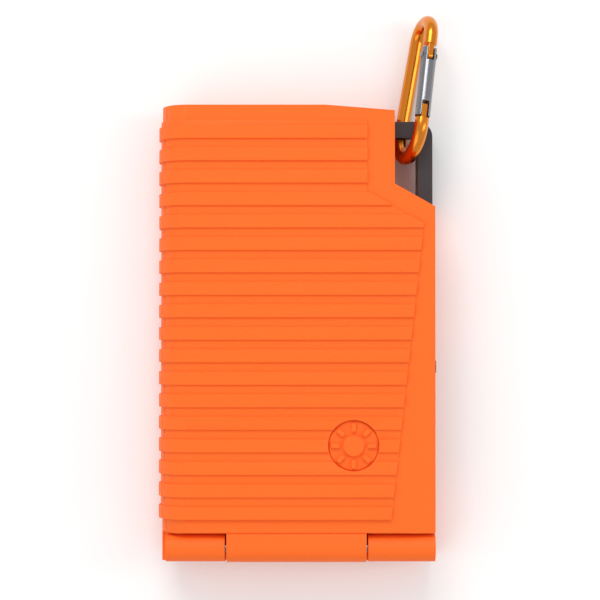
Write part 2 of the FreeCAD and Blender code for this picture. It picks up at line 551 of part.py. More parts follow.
for number, (start, wide, long) in enumerate([(37, 5, 5), (63, 6, 6), (75, 4, 5), (83, 3, 3)]):
    chips.append(box(f"chip{number}", (f"{circuitX[0]} + 0.3", f"{circuitX[0]} + 0.3 + {wide} / 2"),
                     (f"{foot} + {start}", f"{foot} + {start} + {long}"), (circuitTop, f"{circuitTop} + 1")))
node("board_chips", group("boardChips", *chips))
node("power_inductor", box("inductor", (f"{circuitX[0]} + 4", f"{circuitX[0]} + 10"),
                           (f"{foot} + 72", f"{foot} + 78"), (circuitTop, f"{circuitTop} + 3")))
plungerTip = f"({right} - dims.plungerSet)"
switchFace = f"({plungerTip} - dims.buttonTravel)"
switchBody = box("switchBody", (f"{switchFace} - 4.3", switchFace), (f"{buttonY} - 3", f"{buttonY} + 3"),
                 (circuitTop, f"{circuitTop} + 4"))
plunger = cylinder("plunger", "1", "dims.buttonTravel", (switchFace, buttonY, buttonZ), "X")
node("tact_switch", fuse("tactSwitch", switchBody, plunger))
lightBack = f"({right} - dims.wall - 0.3)"
node("status_lights", group("statusLights", *[
    cylinder(f"light{number}", "dims.lightRadius", f"{right} - {lightBack}", (lightBack, y, buttonZ), "X")
    for number, y in enumerate(lightPlaces)]))
node("light_chips", group("lightChips", *[
    box(f"lightChip{number}", (f"{right} - 5", f"{right} - 2.9"), (f"{y} - 0.8", f"{y} + 0.8"),
        (circuitTop, f"{circuitTop} + 2.4")) for number, y in enumerate(lightPlaces)]))

# ---- button, port cover and emblem -------------------------------------------------------------
cap = cylinder("buttonCap", "dims.buttonRadius", "dims.wall + dims.buttonProud + 0.3",
               (f"{right} - dims.wall - 0.3", buttonY, buttonZ), "X")
flange = cylinder("buttonFlange", "dims.buttonRadius + 0.9", "0.5",
                  (f"{right} - dims.wall - 0.65", buttonY, buttonZ), "X")
stemEnd = f"({plungerTip} + dims.buttonTravel + 0.1)"
stem = cylinder("buttonStem", "1", f"{right} - dims.wall - {stemEnd}", (stemEnd, buttonY, buttonZ), "X")
node("power_button", fuse("powerButton", cap, flange, stem))
flapZ = (f"{portLow} + dims.flapGap", f"{portHigh} - dims.flapGap")
plate = box("flapPlate", (f"{right} - dims.flapThick + 0.05", right),
            (f"{portFrom} + dims.flapGap", f"{portTo} - dims.flapGap"), flapZ)
pull = box("flapPull", (right, f"{right} + 0.8"), (f"{portTo} - 9", f"{portTo} - 5"),
           (f"{portHigh} - 2.2", f"{portHigh} - 1"))
node("port_cover", fuse("portCover", plate, pull))
disc = cylinder("emblemDisc", "dims.emblemRadius", "0.5", emblemAt)
emblemThick = f"({rise} + dims.emblemSink)"
core = cylinder("emblemCore", "dims.coreRadius", emblemThick, emblemAt)
rays = []
for number in range(rayCount):
    turn = f"({number} * 360 deg / {rayCount})"
    ray = box(f"ray{number}", ("0", "dims.rayLong"), ("0", "dims.rayWide"), ("0", emblemThick))
    ray.Placement.Rotation = FreeCAD.Rotation(FreeCAD.Vector(0, 0, 1), 360 * number / rayCount)
    rays.append(place(ray, f"{emblemAt[0]} + dims.rayFrom * cos({turn}) + dims.rayWide / 2 * sin({turn})",
                      f"{emblemAt[1]} + dims.rayFrom * sin({turn}) - dims.rayWide / 2 * cos({turn})",
                      emblemAt[2]))
node("emblem", fuse("sunEmblem", disc, core, *rays))

# ---- carabiner ---------------------------------------------------------------------------------
# Drawn flat: X across the loop, Y along it, the big bend's centre at the origin. The spine is at -X.
bendStep = "(dims.bigBend - dims.smallBend)"
lean = f"(2 * asin({bendStep} / sqrt(dims.bendSpan ^ 2 + {bendStep} ^ 2)))"
leanAngle = amountOf(lean)
hookLean = sizes["hookLean"]
hookTurn = sizes["hookTurn"]
along = FreeCAD.Vector(sin(radians(hookLean)), cos(radians(hookLean)), 0)
across = FreeCAD.Vector(sin(radians(hookTurn)) * along.y, -sin(radians(hookTurn)) * along.x,
                        cos(radians(hookTurn)))
hookCentre = FreeCAD.Vector(amountOf(f"{right} - dims.hookInset"), amountOf(f"{head} - dims.hookPlace"),
                            amountOf(f"{lugFront} - dims.hookDrop"))
hookPose = FreeCAD.Placement(hookCentre, FreeCAD.Rotation(across, along, across.cross(along), "XYZ"))


def bend(name, radius, centre, sweep, turn):
    made = doc.addObject("Part::Torus", name)
    bind(made, Radius1=radius, Radius2="dims.wireRadius", Angle3=sweep)
    made.Placement.Rotation = FreeCAD.Rotation(FreeCAD.Vector(0, 0, 1), turn)
    return place(made, *centre)


def onGate(made, start):
    """Moves a piece drawn along +Y from the origin to its place along the gate's line."""
    made.Placement.Rotation = FreeCAD.Rotation(FreeCAD.Vector(0, 0, 1), leanAngle) * made.Placement.Rotation
    return place(made, f"dims.bigBend * cos({lean}) - ({start}) * sin({lean})",
                 f"dims.bigBend * sin({lean}) + ({start}) * cos({lean})", "0")


def gateRod(name, radius, start, end):
    made = doc.addObject("Part::Cylinder", name)
    bind(made, Radius=radius, Height=f"({end}) - ({start})")
    made.Placement.Rotation = FreeCAD.Rotation(FreeCAD.Vector(1, 0, 0), -90)
    return onGate(made, start)


def gatePlate(name, wide, thick, start, end, shift="0"):
    """A flat plate on the gate's line, moved across it by a shift."""
    made = doc.addObject("Part::Box", name)
    bind(made, Length=wide, Width=f"({end}) - ({start})", Height=thick)
    made.Placement.Rotation = FreeCAD.Rotation(FreeCAD.Vector(0, 0, 1), leanAngle)
    edge = f"(dims.bigBend + ({shift}) - ({wide}) / 2)"
    return place(made, f"{edge} * cos({lean}) - ({start}) * sin({lean})",
                 f"{edge} * sin({lean}) + ({start}) * cos({lean})", f"-({thick}) / 2")


def gatePin(name, radius, length, at, x="0"):
    """A short pin across the gate, square to the loop."""
    made = doc.addObject("Part::Cylinder", name)
    bind(made, Radius=radius, Height=length)
    return place(made, f"(dims.bigBend + ({x})) * cos({lean}) - ({at}) * sin({lean})",
                 f"(dims.bigBend + ({x})) * sin({lean}) + ({at}) * cos({lean})", f"-({length}) / 2")


bigEnd = bend("bigEnd", "dims.bigBend", ("0", "0"), f"180 deg + {lean}", 180)
smallEnd = bend("smallEnd", "dims.smallBend", (f"-{bendStep}", "dims.bendSpan"), f"180 deg - {lean}",
                leanAngle)
spine = doc.addObject("Part::Cylinder", "hookSpine")
bind(spine, Radius="dims.wireRadius", Height="dims.bendSpan")
spine.Placement.Rotation = FreeCAD.Rotation(FreeCAD.Vector(1, 0, 0), -90)
place(spine, "-dims.bigBend", "0", "0")
noseStub = gateRod("noseStub", "dims.wireRadius", "0", "dims.stubLow")
topStub = gateRod("topStub", "dims.wireRadius", "dims.stubHigh", "dims.bendSpan")
noseBlade = gatePlate("noseBlade", "3.4", "dims.tongueThick", "dims.stubLow - 1", "dims.stubLow + 4.6")
topTongue = gatePlate("topTongue", "3.6", "dims.tongueThick", "dims.pivotPlace", "dims.stubHigh + 1")
tongueEnd = gatePin("tongueEnd", "1.8", "dims.tongueThick", "dims.pivotPlace")
latchAt = "(dims.stubLow + 3)"
latchNotch = gatePlate("latchNotch", "1.9", "6", f"{latchAt} - 0.8", f"{latchAt} + 1", "-0.95")
latchSeat = gatePin("latchSeat", "0.75", "6", latchAt)
hookBody = cut("hookBody", fuse("hookWire", bigEnd, smallEnd, spine, noseStub, topStub, noseBlade, topTongue,
                                tongueEnd), latchNotch, latchSeat,
               gatePin("tongueBore", "dims.pivotRadius + dims.pinPlay", "6", "dims.pivotPlace"))
node("carabiner_body", hookBody)
gateBar = gateRod("gateBar", "dims.gateRadius", "dims.gateLow", "dims.gateHigh")
lowerFork = gatePlate("lowerFork", "8", "dims.forkGap", "dims.gateLow - 1", "dims.stubLow + 5.4")
upperFork = gatePlate("upperFork", "8", "dims.forkGap", "dims.pivotPlace - 1.9", "dims.gateHigh + 1")
springWell = gateRod("springWell", "1.05", "11", "dims.pivotPlace - 2")
node("carabiner_gate", cut("hookGate", gateBar, lowerFork, upperFork, springWell,
                           gatePin("gateBore", "dims.pivotRadius", "8", "dims.pivotPlace"),
                           gatePin("latchBore", "0.6", "8", latchAt)))
node("gate_pivot_pin", group("gatePivot", gatePin("pivotPin", "dims.pivotRadius", "dims.gateRadius * 2 + 0.1",
                                                  "dims.pivotPlace")))
node("gate_latch_pin", group("gateLatch", gatePin("latchPin", "0.6", "dims.gateRadius * 2 - 0.3", latchAt)))
node("gate_spring", group("gateSpring", gateRod("springRod", "1", "11.1", "dims.pivotPlace - 2.9")))
for made in nodes[-5:]:
    made.Placement = hookPose

# ---- checks and files --------------------------------------------------------------------------
doc.recompute()
os.makedirs("parts", exist_ok=True)
for thing in doc.Objects:
    if "Invalid" in thing.State or "Error" in thing.State:
        raise SystemExit(f"{thing.Name} ({thing.Label}) failed: {thing.State}")
for made in nodes:
    if made.Shape.isNull() or not made.Shape.isValid() or not made.Shape.Solids:
        raise SystemExit(f"{made.Label} has no valid solid")
for made in nodes:
    made.Shape.exportStep(f"parts/{made.Label}.step")
    print(made.Label, len(made.Shape.Solids), round(made.Shape.Volume, 1))
pivot = hookPose.multVec(FreeCAD.Vector(
    amountOf(f"dims.bigBend * cos({lean}) - dims.pivotPlace * sin({lean})"),
    amountOf(f"dims.bigBend * sin({lean}) + dims.pivotPlace * cos({lean})"), 0))
print("hinge axis at y, z:", amountOf(axisPlace), amountOf(parting))
print("carabiner centre", hookCentre, "loop normal", across.cross(along), "gate pivot", pivot)
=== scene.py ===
# Folding solar power bank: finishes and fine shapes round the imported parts.
import json
import math

import bmesh
import bpy
import numpy as np
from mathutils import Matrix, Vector


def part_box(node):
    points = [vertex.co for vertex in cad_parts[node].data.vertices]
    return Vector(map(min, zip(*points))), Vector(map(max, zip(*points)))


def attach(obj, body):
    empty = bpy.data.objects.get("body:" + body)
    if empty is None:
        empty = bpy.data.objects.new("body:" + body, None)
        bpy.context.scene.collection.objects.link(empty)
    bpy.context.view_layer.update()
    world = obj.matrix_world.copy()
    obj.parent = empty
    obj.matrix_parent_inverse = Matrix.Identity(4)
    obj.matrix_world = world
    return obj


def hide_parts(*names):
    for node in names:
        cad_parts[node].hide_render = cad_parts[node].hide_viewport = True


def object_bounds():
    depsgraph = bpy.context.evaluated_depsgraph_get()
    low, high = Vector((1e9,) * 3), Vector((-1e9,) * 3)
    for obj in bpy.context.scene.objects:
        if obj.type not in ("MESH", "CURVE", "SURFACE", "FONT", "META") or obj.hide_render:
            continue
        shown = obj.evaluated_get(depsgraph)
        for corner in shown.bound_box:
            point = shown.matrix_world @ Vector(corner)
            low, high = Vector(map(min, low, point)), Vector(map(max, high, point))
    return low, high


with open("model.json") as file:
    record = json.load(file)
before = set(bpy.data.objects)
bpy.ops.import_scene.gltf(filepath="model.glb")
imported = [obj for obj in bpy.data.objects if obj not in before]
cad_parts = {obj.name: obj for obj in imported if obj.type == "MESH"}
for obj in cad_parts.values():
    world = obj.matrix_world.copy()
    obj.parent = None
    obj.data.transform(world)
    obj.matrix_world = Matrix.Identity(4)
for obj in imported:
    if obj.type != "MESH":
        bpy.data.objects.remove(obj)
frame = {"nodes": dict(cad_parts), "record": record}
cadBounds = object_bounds()
nodes = frame["nodes"]
record = frame["record"]
slotOf = {part["node"]: part["material_slot"] for part in record["subparts"]}
joints = {joint["name"]: joint for joint in record["behaviour"]["joints"]}
mm = 0.001
print("frame loaded:", len(nodes), "nodes")

bumpReach = 0.1 * mm


def newGroup(name, inputs, outputs):
    group = bpy.data.node_groups.new(name, "ShaderNodeTree")
    for label, kind, value in inputs:
        socket = group.interface.new_socket(label, in_out="INPUT", socket_type=kind)
        if value is not None:
            socket.default_value = value
    for label, kind in outputs:
        group.interface.new_socket(label, in_out="OUTPUT", socket_type=kind)
    given = group.nodes.new("NodeGroupInput").outputs
    return group, given, group.nodes.new("NodeGroupOutput")


def addNode(tree, kind, links=None, **values):
    # a node with its settings, and its sockets linked to other sockets or set to values
    node = tree.nodes.new(kind)
    for name, value in values.items():
        setattr(node, name, value)
    for name, value in (links or {}).items():
        socket = node.inputs[name]
        if isinstance(value, bpy.types.NodeSocket):
            tree.links.new(value, socket)
        else:
            socket.default_value = value
    return node


def maths(tree, operation, *values):
    return addNode(tree, "ShaderNodeMath", dict(enumerate(values)), operation=operation).outputs[0]


def noise(tree, vector, scale, detail):
    links = {"Vector": vector, "Scale": scale, "Detail": detail}
    return addNode(tree, "ShaderNodeTexNoise", links).outputs["Fac"]


def spreadAbout(tree, texture, spread, middle):
    # turns a texture round 0.5 into a value round the middle, as wide as the spread
    centred = maths(tree, "SUBTRACT", texture, 0.5)
    return maths(tree, "MULTIPLY_ADD", centred, spread, middle)


def plug(tree, node, sources):
    for label, source in sources.items():
        tree.links.new(source, node.inputs[label])


def makeMottle():
    # two noises: the broad one shades the colour, the fine one the roughness
    group, given, out = newGroup("mottle", [
        ("Vector", "NodeSocketVector", None), ("Colour", "NodeSocketColor", (0.5, 0.5, 0.5, 1)),
        ("Broad", "NodeSocketFloat", 30.0), ("Fine", "NodeSocketFloat", 900.0),
        ("Shade", "NodeSocketFloat", 0.06), ("Rough", "NodeSocketFloat", 0.5),
        ("Spread", "NodeSocketFloat", 0.06)],
        [("Colour", "NodeSocketColor"), ("Roughness", "NodeSocketFloat")])
    broad = noise(group, given["Vector"], given["Broad"], detail=3.0)
    fine = noise(group, given["Vector"], given["Fine"], detail=4.0)
    shade = spreadAbout(group, broad, given["Shade"], 1.0)
    colour = addNode(group, "ShaderNodeVectorMath", {0: given["Colour"], "Scale": shade}, operation="SCALE")
    rough = spreadAbout(group, fine, given["Spread"], given["Rough"])
    plug(group, out, {"Colour": colour.outputs[0], "Roughness": rough})
    return group


def makeGrain():
    # moulded grain: cells broken up by noise, put out as a normal
    group, given, out = newGroup("grain", [
        ("Vector", "NodeSocketVector", None), ("Size", "NodeSocketFloat", 1500.0),
        ("Depth", "NodeSocketFloat", 0.15)],
        [("Normal", "NodeSocketVector")])
    cells = addNode(group, "ShaderNodeTexVoronoi", {"Vector": given["Vector"], "Scale": given["Size"]})
    rough = noise(group, given["Vector"], given["Size"], detail=2.0)
    height = maths(group, "ADD", cells.outputs["Distance"], rough)
    bump = addNode(group, "ShaderNodeBump", {"Strength": given["Depth"], "Distance": bumpReach,
                                             "Height": height})
    plug(group, out, {"Normal": bump.outputs["Normal"]})
    return group


def makeBrushed():
    # fine lines drawn out along one axis, as turned or drawn metal shows
    group, given, out = newGroup("brushed", [
        ("Vector", "NodeSocketVector", None), ("Stretch", "NodeSocketVector", (900.0, 60.0, 900.0)),
        ("Rough", "NodeSocketFloat", 0.25), ("Spread", "NodeSocketFloat", 0.15),
        ("Depth", "NodeSocketFloat", 0.05)],
        [("Roughness", "NodeSocketFloat"), ("Normal", "NodeSocketVector")])
    scaled = addNode(group, "ShaderNodeVectorMath", {0: given["Vector"], 1: given["Stretch"]},
                     operation="MULTIPLY")
    lines = noise(group, scaled.outputs[0], scale=1.0, detail=3.0)
    rough = spreadAbout(group, lines, given["Spread"], given["Rough"])
    bump = addNode(group, "ShaderNodeBump", {"Strength": given["Depth"], "Distance": bumpReach,
                                             "Height": lines})
    plug(group, out, {"Roughness": rough, "Normal": bump.outputs["Normal"]})
    return group


mottle = makeMottle()
grain = makeGrain()
brushed = makeBrushed()


def useGroup(tree, group, coords, **values):
    node = addNode(tree, "ShaderNodeGroup", node_tree=group)
    tree.links.new(coords, node.inputs["Vector"])
    for name, value in values.items():
        node.inputs[name].default_value = value
    return node.outputs


def newMaterial(name, shaderValues):
    material = bpy.data.materials.new(name)
    material.use_nodes = True
    tree = material.node_tree
    shader = tree.nodes["Principled BSDF"]
    for label, value in shaderValues.items():
        shader.inputs[label].default_value = value
    coords = addNode(tree, "ShaderNodeTexCoord").outputs["Object"]
    return material, tree, shader, coords


def mouldedMaterial(name, look):
    # moulded plastic or rubber: mottled colour and roughness with a fine grain
    material, tree, shader, coords = newMaterial(name, look.get("shader", {}))
    tone = useGroup(tree, mottle, coords, Colour=(*look["colour"], 1), Shade=look["shade"],
                    Rough=look["rough"], Spread=look["spread"], Broad=look["broad"], Fine=look["fine"])
    skin = useGroup(tree, grain, coords, Size=look["grainSize"], Depth=look["grainDepth"])
    plug(tree, shader, {"Base Color": tone["Colour"], "Roughness": tone["Roughness"],
                        "Normal": skin["Normal"]})
    return material


def metalMaterial(name, look):
    # drawn or anodised metal: a faintly mottled tint with fine lines along one axis
    material, tree, shader, coords = newMaterial(name, {"Metallic": 1.0, **look.get("shader", {})})
    tone = useGroup(tree, mottle, coords, Colour=(*look["colour"], 1), Shade=look["shade"],
                    Broad=look["broad"])
    lines = useGroup(tree, brushed, coords, Rough=look["rough"], Spread=look["spread"],
                     Depth=look["depth"], Stretch=look["stretch"])
    plug(tree, shader, {"Base Color": tone["Colour"], "Roughness": lines["Roughness"],
                        "Normal": lines["Normal"]})
    return material


def cellMaterial(name, look):
    # dark cells crossed by fine silver fingers and broader silver bars, set out along the Object axes
    material, tree, shader, coords = newMaterial(name, look["shader"])
    place = addNode(tree, "ShaderNodeSeparateXYZ", {0: coords}).outputs

    def stripes(axis, pitch, width):
        cycle = maths(tree, "FRACT", maths(tree, "DIVIDE", place[axis], pitch))
        return maths(tree, "LESS_THAN", cycle, width / pitch)

    fingers = stripes("Y", look["fingerPitch"], look["fingerWidth"])
    bars = stripes("X", look["barPitch"], look["barWidth"])
    silver = maths(tree, "MAXIMUM", fingers, bars)
    tone = useGroup(tree, mottle, coords, Colour=(*look["colour"], 1), Shade=look["shade"],
                    Rough=look["rough"], Spread=look["spread"], Broad=look["broad"])
    mix = addNode(tree, "ShaderNodeMix", {"Factor": silver, "A": tone["Colour"], "B": (*look["silver"], 1)},
                  data_type="RGBA")
    plug(tree, shader, {"Base Color": mix.outputs["Result"], "Roughness": tone["Roughness"],
                        "Metallic": silver})
    return material


def glassMaterial(name, look):
    # a thin clear cover: mostly see-through, with a glossy coat
    material, tree, shader, coords = newMaterial(name, look["shader"])
    tone = useGroup(tree, mottle, coords, Colour=(*look["colour"], 1), Shade=look["shade"],
                    Rough=look["rough"], Spread=look["spread"], Broad=look["broad"], Fine=look["fine"])
    plug(tree, shader, {"Base Color": tone["Colour"], "Roughness": tone["Roughness"]})
    return material


orange = {"colour": (0.95, 0.151, 0.015), "shade": 0.04, "rough": 0.55, "spread": 0.1, "broad": 22.0,
          "fine": 1400.0, "grainSize": 2600.0, "grainDepth": 0.1,
          "shader": {"Specular IOR Level": 0.22, "Subsurface Weight": 0.12,
                     "Subsurface Scale": 0.8 * mm, "Subsurface Radius": (1.0, 0.25, 0.08)}}
blackFrame = {"colour": (0.042, 0.034, 0.036), "shade": 0.12, "rough": 0.42, "spread": 0.12,
              "broad": 40.0, "fine": 1100.0, "grainSize": 2200.0, "grainDepth": 0.16,
              "shader": {"Specular IOR Level": 0.42}}
blackRubber = {"colour": (0.03, 0.028, 0.03), "shade": 0.1, "rough": 0.62, "spread": 0.1,
               "broad": 40.0, "fine": 1300.0, "grainSize": 2400.0, "grainDepth": 0.12,
               "shader": {"Specular IOR Level": 0.3}}
boardGreen = {"colour": (0.012, 0.14, 0.05), "shade": 0.2, "rough": 0.35, "spread": 0.15,
              "broad": 300.0, "fine": 900.0, "grainSize": 1800.0, "grainDepth": 0.08,
              "shader": {"Coat Weight": 0.4}}
epoxy = {"colour": (0.02, 0.02, 0.022), "shade": 0.15, "rough": 0.55, "spread": 0.1,
         "broad": 200.0, "fine": 1500.0, "grainSize": 3000.0, "grainDepth": 0.15}
nylon = {"colour": (0.78, 0.77, 0.7), "shade": 0.05, "rough": 0.45, "spread": 0.08,
         "broad": 120.0, "fine": 1200.0, "grainSize": 2500.0, "grainDepth": 0.05,
         "shader": {"Subsurface Weight": 0.05}}
frosted = {"colour": (0.82, 0.84, 0.86), "shade": 0.04, "rough": 0.4, "spread": 0.1,
           "broad": 200.0, "fine": 1500.0, "grainSize": 2500.0, "grainDepth": 0.1,
           "shader": {"Subsurface Weight": 0.1}}
foamGrey = {"colour": (0.09, 0.09, 0.095), "shade": 0.3, "rough": 0.9, "spread": 0.1,
            "broad": 800.0, "fine": 2000.0, "grainSize": 1400.0, "grainDepth": 0.6}
anodised = {"colour": (0.74, 0.225, 0.014), "shade": 0.1, "rough": 0.2, "spread": 0.12, "depth": 0.04,
            "broad": 90.0, "stretch": (1600.0, 120.0, 1600.0),
            "shader": {"Coat Weight": 0.3, "Coat Roughness": 0.08}}
gateSilver = {"colour": (0.24, 0.24, 0.255), "shade": 0.06, "rough": 0.24, "spread": 0.16,
              "depth": 0.06, "broad": 90.0, "stretch": (2200.0, 140.0, 2200.0)}
steel = {"colour": (0.3, 0.3, 0.31), "shade": 0.06, "rough": 0.28, "spread": 0.15,
         "depth": 0.06, "broad": 150.0, "stretch": (300.0, 2500.0, 2500.0)}
nickel = {"colour": (0.36, 0.355, 0.34), "shade": 0.04, "rough": 0.14, "spread": 0.06,
          "depth": 0.02, "broad": 150.0, "stretch": (1500.0, 1500.0, 1500.0)}
foil = {"colour": (0.62, 0.63, 0.65), "shade": 0.12, "rough": 0.36, "spread": 0.2,
        "depth": 0.12, "broad": 60.0, "stretch": (500.0, 900.0, 500.0)}
solarCells = {"colour": (0.008, 0.014, 0.045), "silver": (0.55, 0.56, 0.58), "shade": 0.5,
              "rough": 0.55, "spread": 0.1, "broad": 45.0,
              "fingerPitch": 1.9 * mm, "fingerWidth": 0.13 * mm,
              "barPitch": 14.5 * mm, "barWidth": 0.9 * mm,
              "shader": {"Coat Weight": 0.2, "Coat Roughness": 0.2}}
coverGlass = {"colour": (0.5, 0.55, 0.62), "shade": 0.05, "rough": 0.16, "spread": 0.02,
              "broad": 20.0, "fine": 500.0,
              "shader": {"Alpha": 0.16, "IOR": 1.45, "Coat Weight": 0.5, "Coat Roughness": 0.03}}

materials = {
    "orange_rubber": mouldedMaterial("orangeRubber", orange),
    "black_plastic": mouldedMaterial("blackPlastic", blackFrame),
    "seal_rubber": mouldedMaterial("sealRubber", blackRubber),
    "board_green": mouldedMaterial("solderMask", boardGreen),
    "chip_black": mouldedMaterial("chipEpoxy", epoxy),
    "bush_nylon": mouldedMaterial("bushNylon", nylon),
    "light_clear": mouldedMaterial("frostedLight", frosted),
    "foam": mouldedMaterial("foamPad", foamGrey),
    "anodised_gold": metalMaterial("anodisedGold", anodised),
    "gate_silver": metalMaterial("gateSilver", gateSilver),
    "steel": metalMaterial("brightSteel", steel),
    "magnet_nickel": metalMaterial("magnetNickel", nickel),
    "battery_foil": metalMaterial("batteryFoil", foil),
    "solar_cell": cellMaterial("solarCell", solarCells),
    "solar_glass": glassMaterial("coverGlass", coverGlass),
}
for nodeName, thing in nodes.items():
    thing.data.materials.clear()
    thing.data.materials.append(materials[slotOf[nodeName]])
print("finishes placed on", len(nodes), "nodes")


view = {"distance": 0.6, "foot": (0.0007, -0.0026), "aimY": 0.0109, "span": 0.1957, "sensor": 36.0}


def makeCamera():
    # looks almost straight down on the lid, from a little nearer the hinge
    footX, footY = view["foot"]
    top = cadBounds[1][2]
    data = bpy.data.cameras.new("mainCamera")
    camera = bpy.data.objects.new("mainCamera", data)
    bpy.context.scene.collection.objects.link(camera)
    data.sensor_width = view["sensor"]
    data.lens = view["sensor"] * view["distance"] / view["span"]
    camera.location = (footX, footY, top + view["distance"])
    camera.rotation_euler = (math.atan2(view["aimY"] - footY, view["distance"]), 0, 0)
    bpy.context.scene.camera = camera


studio = {
    "world": 0.74, "aim": (0, 0.01, 0.01),
    "keyLight": {"place": (-0.15, 0.9, 0.95), "size": (0.8, 0.5), "power": 6.4},
    "fillLight": {"place": (-0.75, -0.35, 0.9), "size": (0.9, 0.7), "power": 1.9},
    "rimLight": {"place": (0.85, 0.1, 0.7), "size": (0.25, 0.8), "power": 1.6},
}
floorLook = {"half": 3.0, "level": -0.2 * mm, "colour": (0.93, 0.93, 0.93), "shade": 0.01, "broad": 3.0,
             "shader": {"Roughness": 0.8, "Specular IOR Level": 0.1}}


def areaLight(name, light):
    data = bpy.data.lights.new(name, "AREA")
    data.shape = "RECTANGLE"
    data.size, data.size_y = light["size"]
    data.energy = light["power"]
    lamp = bpy.data.objects.new(name, data)
    bpy.context.scene.collection.objects.link(lamp)
    lamp.location = light["place"]
    towards = Vector(studio["aim"]) - Vector(light["place"])
    lamp.rotation_euler = towards.to_track_quat("-Z", "Y").to_euler()


def makeStudio():
    # an even white world with three soft lights, shown without a film look
    world = bpy.data.worlds.new("studio")
    bpy.context.scene.world = world
    world.use_nodes = True
    background = world.node_tree.nodes["Background"]
    background.inputs["Color"].default_value = (1, 1, 1, 1)
    background.inputs["Strength"].default_value = studio["world"]
    for name in ("keyLight", "fillLight", "rimLight"):
        areaLight(name, studio[name])
    bpy.context.scene.view_settings.view_transform = "Standard"


def makeFloor():
    # a plain pale sheet just below the case
    half, level = floorLook["half"], floorLook["level"]
    mesh = bpy.data.meshes.new("floor")
    corners = [(-half, -half), (half, -half), (half, half), (-half, half)]
    mesh.from_pydata([(x, y, level) for x, y in corners], [], [(0, 1, 2, 3)])
    floor = bpy.data.objects.new("floor", mesh)
    bpy.context.scene.collection.objects.link(floor)
    material, tree, shader, coords = newMaterial("paleFloor", floorLook["shader"])
    tone = useGroup(tree, mottle, coords, Colour=(*floorLook["colour"], 1), Shade=floorLook["shade"],
                    Broad=floorLook["broad"])
    plug(tree, shader, {"Base Color": tone["Colour"]})
    mesh.materials.append(material)


makeCamera()
makeStudio()
makeFloor()
print("camera and studio ready")


def finishPiece(piece, body, slot, smoothAngle):
    # shaded smooth up to an angle in degrees, and placed on its body with its finish
    mesh = piece.data
    mesh.polygons.foreach_set("use_smooth", np.ones(len(mesh.polygons), bool))
    mesh.set_sharp_from_angle(angle=math.radians(smoothAngle))
    mesh.materials.clear()
    mesh.materials.append(materials[slot])
    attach(piece, body)


meshWeld = 0.001 * mm


def newPiece(name, body, slot, points, faces, smoothAngle):
    # polygons into a closed mesh with its faces outwards
    mesh = bpy.data.meshes.new(name)
    mesh.from_pydata(points.tolist(), [], faces)
    work = bmesh.new()
    work.from_mesh(mesh)
    bmesh.ops.remove_doubles(work, verts=work.verts, dist=meshWeld)
    bmesh.ops.recalc_face_normals(work, faces=work.faces)
    work.to_mesh(mesh)
    work.free()
    piece = bpy.data.objects.new(name, mesh)
    bpy.context.scene.collection.objects.link(piece)
    finishPiece(piece, body, slot, smoothAngle)
    return piece


softEdge = {"steps": 2, "angle": 32.0, "weld": 0.002 * mm, "flat": 1.0}
softCopies = {
    "lidCover": {"node": "lid_shell", "body": "lid", "width": 0.14 * mm},
    "baseCover": {"node": "base_shell", "body": "base", "width": 0.14 * mm},
    "lugFrame": {"node": "base_frame", "body": "base", "width": 0.2 * mm},
    "lidInnerFrame": {"node": "lid_frame", "body": "lid", "width": 0.12 * mm},
    "portFlap": {"node": "port_cover", "body": "port_cover", "width": 0.15 * mm},
    "pressButton": {"node": "power_button", "body": "power_button", "width": 0.2 * mm},
    "sunEmblem": {"node": "emblem", "body": "lid", "width": 0.12 * mm},
    "silverGate": {"node": "carabiner_gate", "body": "gate", "width": 0.2 * mm},
}


def softened(name, copy):
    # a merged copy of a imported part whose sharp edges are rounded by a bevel
    work = bmesh.new()
    work.from_mesh(nodes[copy["node"]].data)
    bmesh.ops.remove_doubles(work, verts=work.verts, dist=softEdge["weld"])
    bmesh.ops.dissolve_limit(work, angle_limit=math.radians(softEdge["flat"]), verts=work.verts,
                             edges=work.edges)
    mesh = bpy.data.meshes.new(name)
    work.to_mesh(mesh)
    work.free()
    piece = bpy.data.objects.new(name, mesh)
    bpy.context.scene.collection.objects.link(piece)
    bevel = piece.modifiers.new("softEdges", "BEVEL")
    bevel.width = copy["width"]
    bevel.segments = softEdge["steps"]
    bevel.limit_method = "ANGLE"
    bevel.angle_limit = math.radians(softEdge["angle"])
    bevel.use_clamp_overlap = False
    bevel.harden_normals = True
    finishPiece(piece, copy["body"], slotOf[copy["node"]], softEdge["angle"])
    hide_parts(copy["node"])


for copyName, copy in softCopies.items():
    softened(copyName, copy)
print("edges softened")


def gridFaces(rows, around):
    # quads between the rings of a closed tube, with a flat face over each end
    ring, step = np.meshgrid(np.arange(rows - 1), np.arange(around), indexing="ij")
    here, after = ring * around + step, ring * around + (step + 1) % around
    quads = np.stack([here, after, after + around, here + around], axis=-1).reshape(-1, 4)
    firstEnd = list(range(around))[::-1]
    lastEnd = list(range((rows - 1) * around, rows * around))
    return quads.tolist() + [firstEnd, lastEnd]


def sweep(path, outward, sideways, halfWide, halfThick, power, around):
    # each station's section is a superellipse: |u / wide| ^ power + |v / thick| ^ power = 1
    angle = np.linspace(0, 2 * np.pi, around, endpoint=False)[None, :]
    shape = 2.0 / power[:, None]
    u = halfWide[:, None] * np.sign(np.cos(angle)) * np.abs(np.cos(angle)) ** shape
    v = halfThick[:, None] * np.sign(np.sin(angle)) * np.abs(np.sin(angle)) ** shape
    points = path[:, None, :] + u[..., None] * outward[:, None, :] + v[..., None] * sideways[:, None, :]
    return points.reshape(-1, 3), gridFaces(len(path), around)


